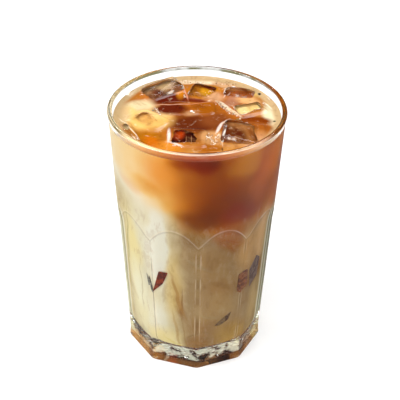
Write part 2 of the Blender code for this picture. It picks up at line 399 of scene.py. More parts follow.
# Painted light on the thick foot: glowing silvery patches of painted reflection with dark green specks of
# painted dark reflection between, glowing painted highlight streaks at the sides, amber below with a painted
# glow, and near black patches of painted shade to the right; masks with colours, then with glows
def paintFootLight(shade, place, x, y, height, fromAxis):
    foot = footPaintedLight
    across, up = foot["across"], foot["up"]
    patches = shade.grain(shade.join(x * across, y * across, height * up), *foot["grain"])
    thick = height.band(*foot["height"]) * fromAxis.step(*foot["outside"])
    across, up = foot["streakAcross"], foot["streakUp"]
    streaks = shade.grain(shade.join(x * across, y * across, height * up), *foot["streakGrain"])
    atSides = (x * 1000).math("ABSOLUTE").step(*foot["sides"]) * height.band(*foot["sideHeight"])
    below = height.step(*foot["below"]) * fromAxis.step(*foot["belowOutside"])
    black = shade.grain(place, *foot["blackGrain"]).step(*foot["black"]) * x.step(*foot["blackRight"])
    return [
        (thick * patches.step(*foot["dark"]) * foot["darkWeight"], foot["darkColour"]),
        (below * foot["amberWeight"], foot["amber"]),
        (below * black * foot["blackWeight"], foot["blackColour"]),
    ], [
        (thick * patches.step(*foot["silver"]), foot["silverGlow"]),
        (atSides * streaks.step(*foot["streak"]) * foot["sideWeight"], foot["sideGlow"]),
        (below * (1 - black), foot["amberGlow"]),
    ]


# Clear glass that mirrors the pale floor less than plain glass does where it is seen edge on
def glassLook():
    shade = Shade("clearGlass")
    finish = glassFinish
    place = shade.place()
    x, y, z = shade.split(place)
    height = z * 1000
    fromAxis = shade.vector("LENGTH", shade.join(x * 1000, y * 1000))
    # the lip and foot carry painted light: painted dark reflections in the colour, painted highlights and
    # glows through emission
    lipColours, lipGlows = paintLipLight(shade, place, y, height, fromAxis)
    footColours, footGlows = paintFootLight(shade, place, x, y, height, fromAxis)
    colour, glow = finish["clear"], rgb("#000000")
    for mask, paint in lipColours + footColours:
        colour = shade.mix(mask, colour, paint)
    for mask, paint in footGlows + lipGlows:
        glow = shade.mix(mask, glow, paint)
    ripple = shade.bump(shade.grain(place, *finish["rippleGrain"]), finish["rippleStrength"],
                        finish["rippleDepth"])
    shade.finish(Base_Color=colour, Roughness=0.0, IOR=finish["bend"], Transmission_Weight=1.0,
                 Specular_Tint=finish["mirror"], Normal=ripple, Emission_Color=glow,
                 Emission_Strength=finish["glow"])
    plain = shade.node("ShaderNodeBsdfRefraction", {}, {"Color": finish["clear"], "Roughness": 0.0,
                                                       "IOR": finish["bend"], "Normal": ripple})
    edgeOn = shade.node("ShaderNodeLayerWeight", {}, {"Blend": 0.5}, 1)
    inside = shade.node("ShaderNodeNewGeometry", {}, {}, 6)
    return shade.blend(edgeOn.step(*finish["edgeOn"]) * (1 - inside) * finish["edgeClear"], plain)


def makeGlass():
    outside = glass["footBottomRadius"] + glass["ribTrim"]
    edge, lip = glass["footEdge"], glass["lip"]
    points = [(r, glass["recessDepth"]) for r in between(0, glass["recessEdge"], glass["stippleRings"])]
    points += [(glass["recessRadius"], 0.0), (outside - edge, 0.0)]
    for angle in glass["edgeAngles"]:
        turn = math.radians(angle)
        points.append((outside - edge + edge * math.sin(turn), edge - edge * math.cos(turn)))
    footStart, footRows = glass["footRows"]
    points += [(outside, z) for z in between(footStart, glass["footHeight"], footRows)]
    bandStart, bandRows = glass["bandRows"]
    top = glass["height"] - glass["beadDrop"]
    for rows in (glass["sideRows"], glass["archRows"], (bandStart, top, bandRows)):
        points += [(wallRadius(z), z) for z in between(*rows)]
    for angle in between(0, math.pi, glass["lipSteps"]):
        points.append((glass["rimRadius"] - lip + lip * math.cos(angle),
                       glass["height"] - lip + lip * math.sin(angle)))
    wall = innerWall()
    lowRows, highRows = glass["innerRows"]
    upper = [(radiusAt(wall, z), z) for z in between(glass["kneeHeight"], wall[-1][1], highRows)]
    lower = [(radiusAt(wall, z), z) for z in between(wall[-3][1], glass["kneeHeight"], lowRows)]
    points += list(reversed(wall[:-3] + lower[:-1] + upper[:-1]))
    bm = spun(points, glass["spinSteps"], glass["frontRib"])
    stippled = glass["recessEdge"] - glass["stippleEdge"]
    for vert in bm.verts:  # the underside is stippled, so it doesn't act as a plain mirror
        if vert.co.z < glass["recessDepth"] + joined and vert.co.xy.length < stippled:
            rise = noise.noise(vert.co / glass["stippleLength"]) + glass["stippleLift"]
            vert.co.z += glass["stipple"] * rise
    pressSides(bm, wall)
    addPiece("glassBody", bm, glassLook(), "clear_glass", "glass")


# Drink
drink = {
    "level": 0.1316, "layerHeight": 0.0915, "layerSlope": -0.125, "layerWave": 0.0016, "waveLength": 0.0360,
    "intoWall": 0.00018, "steps": 360, "topRings": 84, "meniscus": 0.0011, "meniscusWidth": 0.0013,
    "iceMeniscus": 0.0007, "iceMeniscusWidth": 0.0011, "iceReach": 0.006,
    "ripple": 0.00035, "rippleLength": 0.0075, "calmWidth": 0.004,
    "rings": 12, "milkRows": (0.002, -0.008, 24), "coffeeRows": (0.008, 16), "layerGap": 0.0001,
}

ice = {
    "rounding": 0.0030, "leastFlat": 0.42, "melt": 0.0006, "meltLength": 0.0110,
    "meltStep": Vector((7.3, 3.1, 1.0)), "fineMelt": 0.00022, "fineLength": 0.0032, "intoDrink": 0.00025,
    "segments": 3, "cuts": 5, "socketCuts": 2, "softening": 2, "corner": 0.0025, "edgeShare": 0.29,
    "clearDepth": 0.0012, "socketRough": 0.0002, "socketLength": 0.003, "socketAngle": 50,
    # on the next line, the weight and colour of the white patches on the rounded edges are a painted
    # highlight
    "bend": 1.14, "frost": 0.75, "edgeHighlightColour": "#FFF2E2", "colour": (1.0, 0.95, 0.88, 1),
    "fineGrain": (320.0, 3.0, 0.6), "patchGrain": (130.0, 2.0, 0.5),
}

# Place of the middle, size, height of the top above the drink, then yaw, pitch and roll in degrees
iceBlocks = {
    "ice_back_left": {"at": (-0.0176, 0.0268), "size": (0.0215, 0.0125, 0.0100), "rise": 0.0038,
                      "turn": (35, 11, -4)},
    "ice_back_middle": {"at": (0.0024, 0.0256), "size": (0.0150, 0.0150, 0.0130), "rise": 0.0014,
                        "turn": (-20, 3, 4)},
    "ice_back_right": {"at": (0.0214, 0.0244), "size": (0.0170, 0.0092, 0.0110), "rise": 0.0024,
                       "turn": (-14, 4, -3)},
    "ice_right": {"at": (0.0256, 0.0093), "size": (0.0162, 0.0118, 0.0120), "rise": 0.0014,
                  "turn": (25, 2, 2)},
    "ice_front_right": {"at": (0.0216, -0.0155), "size": (0.0210, 0.0205, 0.0130), "rise": 0.0034,
                        "turn": (-6, -3, 12)},
    "ice_front": {"at": (-0.0047, -0.0195), "size": (0.0180, 0.0155, 0.0120), "rise": 0.0012,
                  "turn": (-4, 0, 0)},
    "ice_left": {"at": (-0.0236, -0.0033), "size": (0.0180, 0.0130, 0.0130), "rise": 0.0007,
                 "turn": (-40, 0, 2)},
    "ice_left_edge": {"at": (-0.0335, -0.0134), "size": (0.0145, 0.0058, 0.0110), "rise": 0.0010,
                      "turn": (-70, 0, 0)},
    "ice_middle": {"at": (-0.0048, 0.0086), "size": (0.0265, 0.0105, 0.0120), "rise": 0.0006,
                   "turn": (2, 2, 0)},
}


# Height of the boundary between the layers, which slopes down to the right in soft waves
def layerFace(x, y):
    wave = noise.noise(Vector((x, y, 0)) / drink["waveLength"])
    return drink["layerHeight"] + drink["layerSlope"] * x + drink["layerWave"] * wave


def iceTurn(block):
    yaw, pitch, roll = (math.radians(angle) for angle in block["turn"])
    return Matrix.Rotation(yaw, 4, "Z") @ Euler((pitch, roll, 0)).to_matrix().to_4x4()


def icePlace(block):
    pitch, roll = (math.radians(angle) for angle in block["turn"][1:])
    x, y = block["at"]
    size = block["size"]
    top = drink["level"] + block["rise"]
    centre = Vector((x, y, top - size[2] / 2 * math.cos(pitch) * math.cos(roll)))
    tiltLift = (size[0] * abs(math.sin(roll)) + size[1] * abs(math.sin(pitch))) / 2
    sink = Vector((0, 0, max(tiltLift - ice["rounding"] / 2, 0)))
    return Matrix.Translation(centre - sink) @ iceTurn(block)


# A melted block as the frame has it, with finer hollows; grow makes it larger all round
def iceBlock(block, seed, grow=0.0, cuts=ice["cuts"]):
    bm = bmesh.new()
    bmesh.ops.create_cube(bm, size=1)
    bmesh.ops.scale(bm, vec=block["size"], verts=bm.verts[:])
    rounding = min(ice["rounding"], ice["leastFlat"] * min(block["size"]))
    bmesh.ops.bevel(bm, geom=bm.edges[:], offset=rounding, offset_type="OFFSET", affect="EDGES",
                    segments=ice["segments"], profile=0.5, material=-1)
    bmesh.ops.subdivide_edges(bm, edges=bm.edges[:], cuts=cuts, use_grid_fill=True, smooth=0.0)
    for turn in range(ice["softening"]):
        bmesh.ops.smooth_vert(bm, verts=bm.verts[:], factor=0.5, use_axis_x=True, use_axis_y=True,
                              use_axis_z=True)
    bm.normal_update()
    edge = bm.verts.layers.float.new("edge")  # 0 on the flats, 1 on the rounded edges
    for vert in bm.verts:
        vert[edge] = (1 - max(abs(share) for share in vert.normal)) / ice["edgeShare"]
        melt = noise.noise(vert.co / ice["meltLength"] + seed * ice["meltStep"]) * ice["melt"]
        melt += noise.noise(vert.co / ice["fineLength"] + seed * ice["meltStep"]) * ice["fineMelt"]
        vert.co += vert.normal * (melt + grow)
    bmesh.ops.transform(bm, matrix=icePlace(block), verts=bm.verts[:])
    bmesh.ops.recalc_face_normals(bm, faces=bm.faces[:])
    return bm


# Distance from a block's outline at the drink's level, below zero inside it
def fromBlock(block, x, y):
    x, y = x - block["at"][0], y - block["at"][1]
    yaw = math.radians(block["turn"][0])
    corner = ice["corner"]
    dx = abs(x * math.cos(yaw) + y * math.sin(yaw)) - block["size"][0] / 2 + corner
    dy = abs(y * math.cos(yaw) - x * math.sin(yaw)) - block["size"][1] / 2 + corner
    return math.hypot(max(dx, 0), max(dy, 0)) + min(max(dx, dy), 0) - corner


# Height of the drink's top: it climbs a little at the wall and round each block
def topHeight(x, y, edgeRadius):
    fromWall = edgeRadius - math.hypot(x, y)
    height = drink["level"] + drink["meniscus"] * math.exp(-max(fromWall, 0) / drink["meniscusWidth"])
    calm = min(max(fromWall / drink["calmWidth"], 0), 1)
    height += calm * drink["ripple"] * noise.noise(Vector((x, y, 0.01)) / drink["rippleLength"])
    for block in iceBlocks.values():
        gap = fromBlock(block, x, y)
        if gap < drink["iceReach"]:
            height += drink["iceMeniscus"] * math.exp(-max(gap, 0) / drink["iceMeniscusWidth"])
    return height


def makeWavy(bm, wall, offset=0.0):
    edgeRadius = radiusAt(wall, drink["layerHeight"])
    for vert in bm.verts:
        if abs(vert.co.z - drink["layerHeight"]) > joined:
            continue
        vert.co.z = layerFace(vert.co.x, vert.co.y) + offset
        if vert.co.xy.length > edgeRadius - joined:
            vert.co.xy *= radiusAt(wall, vert.co.z) / edgeRadius


def makeMilk(look):
    wall = innerWall(-drink["intoWall"])
    aboveCorner, belowLayer, rows = drink["milkRows"]
    heights = between(wall[-3][1] + aboveCorner, drink["layerHeight"] + belowLayer, rows)
    edgeRadius = radiusAt(wall, drink["layerHeight"])
    points = wall[:-2]
    points += [(radiusAt(wall, z), z) for z in heights]
    points += [(r, drink["layerHeight"]) for r in between(edgeRadius, 0, drink["rings"])]
    bm = spun(points, drink["steps"])
    makeWavy(bm, wall)
    addPiece("milkLayer", bm, look, "milky_coffee", "milk_layer")


def makeCoffee(look):
    wall = innerWall(-drink["intoWall"])
    edgeRadius = radiusAt(wall, drink["layerHeight"])
    topRadius = radiusAt(wall, drink["level"])
    aboveLayer, rows = drink["coffeeRows"]
    points = [(r, drink["layerHeight"]) for r in between(0, edgeRadius, drink["rings"])]
    heights = between(drink["layerHeight"] + aboveLayer, drink["level"], rows)
    points += [(radiusAt(wall, z), z) for z in heights]
    points += [(r, drink["level"]) for r in between(topRadius, 0, drink["topRings"])[1:]]
    bm = spun(points, drink["steps"])
    makeWavy(bm, wall, -drink["layerGap"])
    for vert in bm.verts:
        if abs(vert.co.z - drink["level"]) < joined:
            vert.co.z = topHeight(vert.co.x, vert.co.y, topRadius)
    cutSockets(addPiece("coffeeLayer", bm, look, "coffee", "coffee_layer"))


# Shallow sockets for the ice, with rough floors, cut out of the drink's top
def cutSockets(coffee):
    sockets = bmesh.new()
    deepest = drink["level"] - ice["clearDepth"]
    for seed, block in enumerate(iceBlocks.values()):
        part = iceBlock(block, seed, -ice["intoDrink"], ice["socketCuts"])
        for vert in part.verts:
            rough = ice["socketRough"] * noise.noise(vert.co / ice["socketLength"])
            vert.co.z = max(vert.co.z, deepest + rough)
        mesh = bpy.data.meshes.new("socket")
        part.to_mesh(mesh)
        part.free()
        sockets.from_mesh(mesh)
        bpy.data.meshes.remove(mesh)
    mesh = bpy.data.meshes.new("sockets")
    sockets.to_mesh(mesh)
    sockets.free()
    cutter = bpy.data.objects.new("sockets", mesh)
    bpy.context.scene.collection.objects.link(cutter)
    cut = coffee.modifiers.new("sockets", "BOOLEAN")
    cut.operation = "DIFFERENCE"
    cut.solver = "EXACT"
    cut.object = cutter
    graph = bpy.context.evaluated_depsgraph_get()
    carved = bpy.data.meshes.new_from_object(coffee.evaluated_get(graph))
    coffee.modifiers.clear()
    coffee.data = carved
    bpy.data.objects.remove(cutter)
    carved.shade_smooth()
    carved.set_sharp_from_angle(angle=math.radians(ice["socketAngle"]))


# Strength of clear coffee and of milky coffee, as colours
clearStops = [(0.0, "#F2EADA"), (0.2, "#F4DAA6"), (0.35, "#F2C26A"), (0.5, "#E89E3C"), (0.62, "#D27C18"),
              (0.75, "#B45C08"), (0.88, "#8E3A02"), (1.0, "#661A00")]
milkyStops = [(0.0, "#F0EDE0"), (0.25, "#E4D8B0"), (0.5, "#C6AE82"), (0.7, "#B08E5E"), (0.85, "#A07038"),
              (1.0, "#945818")]

# Spots on the wall: azimuth and height of the middle, half sizes, turn, softness, how much stronger
wallSpots = [
    ((0, 132), (15, 5), 0, 0.6, 0.28),
    ((36, 127), (11, 7), 20, 0.7, -0.20),
    ((-38, 113), (11, 3.5), 0, 0.7, 0.16),
    ((20, 104), (24, 9), 0, 0.7, 0.10),
    ((64, 104), (9, 14), 0, 0.7, 0.02),
    ((75, 124), (9, 9), 0, 0.8, -0.22),
]

# The same in the milky layer
milkSpots = [
    ((-31, 76), (8, 22), 0, 0.6, -0.40),
    ((29, 83), (12, 9), -15, 0.4, 0.24),
    ((20, 52), (9, 5), 0, 0.6, 0.12),
    ((-14, 45), (4.5, 13), 22, 0.35, 0.26),
    ((-30, 28), (10, 14), 0, 0.8, -0.22),
    ((-18, 15), (8, 4), -20, 0.5, -0.25),
    ((26, 37), (16, 8), 0, 0.8, -0.10),
    ((60, 51), (12, 8), 0, 0.5, 0.25),
]

# Patches of colour on the wall: azimuth and height, half sizes, turn, softness, colour, weight
wallPatches = [
    ((3, 98), (17, 6), 0, 0.7, "#6E2A04", 0.75),
    ((33, 97), (14, 7), 0, 0.7, "#922C00", 0.85),
    ((15, 116), (22, 7), 0, 0.7, "#9A3E04", 0.5),
    ((0, 86), (9, 7), 0, 0.7, "#946C38", 0.8),
    ((28, 83), (12, 8), -12, 0.5, "#B86820", 0.65),
    ((63, 74), (10, 17), 0, 0.7, "#F0C488", 0.85),
    ((62, 30), (10, 14), 0, 0.7, "#DCBC80", 0.8),
    ((-60, 66), (11, 24), 0, 0.7, "#F6E6A8", 0.8),
    ((-55, 30), (12, 16), 0, 0.7, "#F6ECC4", 0.8),
    ((-19, 52), (7, 20), 0, 0.6, "#E8CC84", 0.6),
    ((-28, 17), (15, 6), 0, 0.6, "#F0DC98", 0.8),
    ((0, 14), (12, 4), 0, 0.6, "#94622C", 0.6),
    ((36, 18), (14, 7), 0, 0.6, "#CCA04C", 0.7),
    ((16, 62), (11, 16), 0, 0.7, "#B48C54", 0.6),
    ((-2, 55), (5, 22), 0, 0.7, "#9C825A", 0.4),
    ((-56, 44), (9, 12), 0, 0.8, "#F6F2DC", 0.7),
    ((46, 72), (9, 14), 0, 0.8, "#E0AC68", 0.6),
    ((24, 40), (12, 14), 0, 0.8, "#C89C58", 0.5),
    ((66, 122), (12, 10), 0, 0.7, "#EC8420", 0.9),
    ((53, 118), (10, 12), 0, 0.8, "#E06C08", 0.6),
    ((70, 103), (9, 12), 0, 0.8, "#D87430", 0.6),
    ((82, 114), (9, 16), 0, 0.7, "#B45C20", 0.8),
    ((34, 128), (10, 5), 10, 0.6, "#D0801C", 0.6),
    ((0, 128), (14, 5), 0, 0.7, "#8A2000", 0.7),
    ((-24, 124), (12, 9), 0, 0.8, "#F08C08", 0.5),
    ((-52, 110), (10, 3), 0, 0.7, "#E8B070", 0.4),
]

# Streaks on the wall: from, to (azimuth and height), width, colour, weight
wallLines = [
    ((-21, 58), (-8, 36), 3.0, "#B98C4E", 0.8),
    ((-11, 50), (-9, 41), 1.2, "#8A5A28", 0.6),
    ((-18, 34), (-14, 12), 2.2, "#C09A5C", 0.6),
    ((-11, 34), (-8, 14), 1.6, "#A8844A", 0.5),
    ((18, 88), (38, 80), 3.5, "#B47434", 0.6),
    ((22, 82), (36, 74), 3.0, "#B07838", 0.5),
    ((12, 56), (30, 50), 4.0, "#A07440", 0.5),
    ((-5, 18.5), (8, 21), 0.9, "#8C6A38", 0.6),
    ((8, 21), (15, 18.5), 0.9, "#94703C", 0.6),
    ((0, 15.5), (14, 16), 0.7, "#8C6A38", 0.5),
    ((-72, 40), (-62, 88), 2.5, "#A89450", 0.5),
    ((-52, 30), (-50, 60), 1.6, "#B8A468", 0.4),
    ((-25, 17), (-12, 12), 3.0, "#E6D488", 0.7),
    ((5, 36), (20, 30), 1.5, "#B8A070", 0.5),
    ((-6, 70), (10, 64), 2.5, "#A8926A", 0.4),
]

# Colours of the painted upright lines at both sides, from 70 to 100 degrees off the front: pale ones are
# painted highlights, dark ones painted shade
sideLightStops = [(0.0, "#E0CC90"), (0.14, "#D8C080"), (0.20, "#FFFFF0"), (0.27, "#F4F0D8"), (0.31, "#5A5430"),
             (0.38, "#C8C8A0"), (0.46, "#F8FCF0"), (0.52, "#8A9A80"), (0.57, "#404428"), (0.64, "#D8E0D0"),
             (0.72, "#F0F8F4"), (0.78, "#6A7860"), (0.86, "#2E3020"), (0.93, "#B8C0A8"), (1.0, "#8A8868")]

# Colour of the drink's edge where it meets the wall, by azimuth from -180 to 180 degrees
marginStops = [(0.0, "#C4A070"), (0.2, "#CDB084"), (0.33, "#D8B078"), (0.38, "#D89238"), (0.43, "#BC6410"),
               (0.47, "#8A2E00"), (0.53, "#7E2400"), (0.57, "#A04E08"), (0.63, "#B07A44"), (0.70, "#C8AC80"),
               (1.0, "#C4A070")]

# Patches on the top: place in millimetres, half sizes, turn, softness, colour
topSpots = [
    ((-2, 4), (33, 30), 0, 0.4, "#A85C18"),
    ((-1, -7), (14, 9), 0, 0.5, "#602406"),
    ((9, -3), (8, 7), 0, 0.5, "#804018"),
    ((4, 7), (6, 6), 0, 0.4, "#985004"),
    ((-3.5, 2.5), (3, 2), 0, 0.7, "#B07C50"),
    ((-24, -3), (12, 12), 0, 0.3, "#E2B060"),
    ((-22, 3), (8, 6), 0, 0.6, "#EEC07C"),
    ((-29, 10), (8, 5), 20, 0.4, "#DCC698"),
    ((-33, 3), (2.5, 5), 10, 0.6, "#E4C070"),
    ((-25, -23), (8, 10), -30, 0.5, "#A86408"),
    ((-21, -25), (3.5, 6), 30, 0.6, "#C46404"),
    ((-36, -1), (3.5, 10), 0, 0.6, "#D8B480"),
    ((-13, 17), (10, 6), 10, 0.35, "#5A1400"),
    ((-13.5, 6.5), (8.5, 5), 0, 0.35, "#5E1C04"),
    ((-9, 27), (2.5, 9), 0, 0.5, "#C27410"),
    ((4, 25), (9, 9), 0, 0.4, "#B87018"),
    ((4, 25), (3, 3.6), 20, 0.5, "#CC921C"),
    ((-1, 15.5), (6, 1.6), -8, 0.4, "#6C2404"),
    ((8, 20), (5, 4), 20, 0.5, "#CB966A"),
    ((3, 37), (22, 4.2), 0, 0.3, "#E0C8A4"),
    ((16, 32), (8, 4), -20, 0.4, "#CE9E70"),
    ((21, 23), (9, 4), 0, 0.35, "#924405"),
    ((30, 26), (4, 6), -30, 0.5, "#E0B868"),
    ((17, 15), (4, 6), -30, 0.5, "#A66C4C"),
    ((37.5, 4), (5, 12), 0, 0.3, "#E2D2AA"),
    ((28, -3.5), (9, 4.5), 0, 0.3, "#7C3402"),
    ((26, 16), (6, 4), -30, 0.6, "#DCA468"),
    ((31, -9), (8, 4), -20, 0.5, "#A05414"),
    ((7, -20), (5.5, 6.5), 0, 0.3, "#C68F58"),
    ((6, -30), (6, 4), 0, 0.4, "#A0560A"),
    ((-13, -30), (6, 6), 0, 0.6, "#CE7E22"),
    ((31, -24), (7, 8), 0, 0.6, "#C88C5C"),
]

# Patches of the drink seen through each block
socketSpots = [
    ((-18, 27), (14, 11), 35, 0.1, "#7A4A2A"),
    ((-19, 29), (8, 4), 45, 0.6, "#B89C70"),
    ((-21, 23), (3, 4), 30, 0.6, "#5A2408"),
    ((-14, 20), (8, 3), 20, 0.4, "#480C00"),
    ((2, 26), (10, 10), 0, 0.1, "#9E5E10"),
    ((4, 25), (3, 4), 10, 0.5, "#D09418"),
    ((5, 30), (7, 2), -32, 0.4, "#6C2A08"),
    ((22, 24), (11, 7), 0, 0.1, "#8E4404"),
    ((18, 29.5), (5, 3), 0, 0.6, "#D08C40"),
    ((20, 29), (9, 3.0), -8, 0.5, "#DCA470"),
    ((26, 9), (12, 9), 25, 0.1, "#F4D488"),
    ((22.5, 7), (2, 5), 0, 0.4, "#F4DF9C"),
    ((32, 11), (2, 6), 10, 0.4, "#F0DE98"),
    ((22, -15), (14, 14), 0, 0.1, "#B4783E"),
    ((13.5, -16), (2.6, 9), 0, 0.5, "#74340C"),
    ((19.5, -18), (4.5, 8), 12, 0.7, "#5E2000"),
    ((27, -18), (1.6, 9), 15, 0.6, "#8A4C1C"),
    ((20, -5), (7, 3), -20, 0.4, "#C49468"),
    ((-5, -19), (11, 9.5), 0, 0.1, "#3E0C00"),
    ((-9, -18), (3, 5), -10, 0.5, "#B63C04"),
    ((-2, -13.5), (4.5, 2.2), -10, 0.4, "#A8560E"),
    ((-24, -3), (13, 10), -40, 0.1, "#EAB464"),
    ((-34, -13), (9, 5), -70, 0.1, "#EBD6A0"),
    ((-13, 8), (9, 7), 0, 0.1, "#561602"),
    ((2, 9), (7, 6), 0, 0.4, "#9A5010"),
]

# Fine lines on the top, where wet edges catch the light or the shade: from, to, width, colour, weight
topLines = [
    ((-21, 11.5), (-13, 10.2), 0.7, "#D9A080", 0.8),
    ((-13, 10.2), (-3, 11.2), 0.7, "#D9A080", 0.8),
    ((-3, 11.2), (6, 13.8), 0.6, "#C98058", 0.8),
    ((-21, 8.5), (-18.5, 1.5), 0.8, "#F2E8DA", 0.8),
    ((-28, 22), (-23, 19), 0.7, "#EAD8C4", 0.8),
    ((-23, 19), (-17, 20.5), 0.6, "#D8A894", 0.8),
    ((-17, 21), (-13, 30), 0.6, "#DCC0A0", 0.8),
    ((-7, 26), (-5, 17), 0.9, "#D8906C", 0.8),
    ((13, 20.5), (16, 25.5), 0.6, "#F4EADC", 0.8),
    ((-38, -3), (-34, -9), 0.8, "#F8E8C4", 0.8),
    ((-34, -9), (-28, -21), 0.8, "#F8E8C4", 0.8),
    ((9.6, -14), (12.0, -7), 1.8, "#F6E4D8", 0.8),
    ((12.0, -7), (15.5, -2.6), 1.6, "#F0D4BC", 0.8),
    ((-13.4, -14), (-13.6, -24.5), 1.6, "#F4ECE2", 0.8),
    ((-13, -25.5), (-7.5, -28.6), 1.3, "#ECE0D8", 0.8),
    ((10.5, -17), (12, -27), 0.8, "#E2C09C", 0.8),
    ((-5, -18), (-5, -24), 0.45, "#A8704C", 0.8),
    ((-2.4, -17.5), (-2.4, -23), 0.45, "#B88458", 0.8),
    ((0.6, -18.5), (0.6, -23.5), 0.45, "#A0683C", 0.8),
    ((11, 15), (15, 8), 2.0, "#ECDCC0", 0.8),
    ((15, 8), (21, 1), 1.8, "#E4C8A4", 0.8),
    ((29.8, 14.5), (31.8, 10.5), 0.6, "#5A3008", 0.8),
    ((31.8, 10), (34.5, 6.5), 0.5, "#A07828", 0.8),
    ((12, -29.5), (12.3, -31.5), 0.8, "#40200C", 0.8),
    ((12.5, 27), (17, 29.5), 0.6, "#F2DEC0", 0.8),
    ((33.5, 15.5), (36.5, 8.5), 0.7, "#FAF2D4", 0.8),
    ((-31, -20), (-26, -27), 0.6, "#F0D09C", 0.8),
    ((-16, 13.5), (-6, 14.5), 0.4, "#B86C50", 0.8),
    ((4, -33), (14, -31.5), 0.5, "#D89858", 0.8),
]

# Small specks: dark ones are marks on the drink, white and pale ones painted glints; place, size, colour
topSpecksAndGlints = [
    ((-2.8, 4.4), 0.7, "#FFFFFF"), ((-1.8, 3.2), 0.5, "#FFF4E4"), ((18.5, 30.5), 0.9, "#FFFFFF"),
    ((31.3, 23), 0.8, "#1E1204"), ((38.2, -3), 0.7, "#3A3420"), ((12, 10), 0.8, "#6A665C"),
    ((11, 13), 0.6, "#706850"), ((14.5, 7), 0.6, "#6C6450"), ((18, 3.5), 0.6, "#706850"),
    ((20, -1.8), 0.8, "#8A6C3C"), ((21.6, -3.4), 0.5, "#705030"), ((-22, 6), 0.6, "#4E5A50"),
    ((-18.8, 21.5), 0.6, "#E8D0C0"),
]


# How the colours run: azimuths in degrees, heights and places in millimetres; pairs go from none to full
flow = {
    "swirl": (60.0, 3.0, 0.55), "fine": (210.0, 3.0, 0.6), "marble": (120.0, 5.0, 0.65), "marbleFlat": 0.4,
    "drift": 48.0, "wallDrift": (16, 12), "topDrift": 3,
    # clear coffee, weak at the left and strong at the front and right: partly the drink's own colours and
    # partly painted light, lighter on the lit left and darker on the right
    "coffee": 0.13, "coffeeFar": ((-80, -38), 0.16), "coffeeNear": ((-45, 16), 0.50), "coffeeMarble": 0.12,
    "boundary": 104, "boundaryAcross": (-60, 25), "boundaryDrop": 16.5, "meeting": (-7, 7),
    "clearing": ((-3, 16), 0.14), "milkyLeft": ((-8, -30), 0.22),
    # milky coffee below it
    "milk": 0.14, "milkNear": ((-48, 10), 0.60), "milkFar": ((-40, -70), 0.25),
    "milkSwirl": 0.25, "milkMarble": 0.30,
    "veins": (200.0, 4.0, 0.65), "veinDrift": 0.01, "veinAcross": 1.2, "veinUp": 0.5, "veined": (100, 92),
    "darkVein": ((0.47, 0.36), 0.20, "#B88C50"), "paleVein": ((0.53, 0.64), 0.10, "#F4E4C0"),
    # the top
    "topShift": 1.0, "socketShift": 2.7, "socketHeight": (130.6, 131.3),
    "topSwirl": ((0.35, 0.65), "#B06C26", "#C0843E"), "socketGrain": ((0.5, 0.8), 0.4, "#E0A870"),
    "margin": (37.0, 39.5), "marginDrift": 3, "frontMargin": ((12, 36), 3.2), "speckSoft": 0.4,
    "streaks": (260.0, 4.0, 0.7), "streakDrift": 0.02,
    "darkStreak": ((0.48, 0.30), 0.35, "#9A5A20"), "paleStreak": ((0.58, 0.74), 0.35, "#FFE8C4"),
    # where the top gives way to the wall
    "level": (0.35, 0.6), "atWall": (0.5, 0.3), "bend": 1.33,
}

# Fine upright painted lines at both sides, where the facets split the view: painted highlights and painted
# shade
sideLightLines = {
    "from": 70, "width": 30, "wobble": (1.5, 3.0, 0.6), "wobbleAcross": 20, "wobbleUp": 12,
    "wobbleInner": 5, "wobbleOuter": 8, "inner": (71, 75), "outer": (95, 89),
    "height": ((90, 80), (8, 12)), "weight": 0.65,
}

# Painted highlight lines and painted shade for the light and shadow that the glass's arches and ribs throw on
# the drink, in millimetres from them
archLightLines = {
    "drop": 1.8, "line": ((-0.9, -0.1), (0.6, 0.0)), "shade": ((-2.4, -1.2), (-0.3, -1.0)),
    "halfSide": 14, "ribBelow": (80, 76), "ribShade": (0.5, 0.1), "ribLine": ((0.4, 0.7), (1.3, 0.9)),
    "broken": (0.40, 0.62), "dark": "#7A5A34", "pale": "#F6E8CC", "archShadeWeight": 0.22,
    "ribShadeWeight": (0.4, 0.1), "archLineWeight": (0.3, 0.2), "ribLineWeight": 0.35,
}


# What every part of the drink's material reads
def drinkFields(shade):
    place = shade.place()
    x, y, z = shade.split(place)
    drift = shade.node("ShaderNodeTexNoise", {}, {"Vector": place, "Scale": flow["drift"], "Detail": 2.0}, 1)
    return {
        "place": place, "x": x, "y": y, "z": z, "height": z * 1000,
        "azimuth": x.math("ARCTAN2", y * -1).math("DEGREES"),
        "fromAxis": shade.vector("LENGTH", shade.join(x * 1000, y * 1000)),
        "swirl": shade.grain(place, *flow["swirl"]), "fine": shade.grain(place, *flow["fine"]),
        "marble": shade.grain(shade.join(x, y, z * flow["marbleFlat"]), *flow["marble"]) - 0.5,
        "drift": shade.split(shade.vector("SUBTRACT", drift, (0.5, 0.5, 0.5))),
    }


def strongerAcross(side, change):
    reach, share = change
    return side.step(*reach) * share


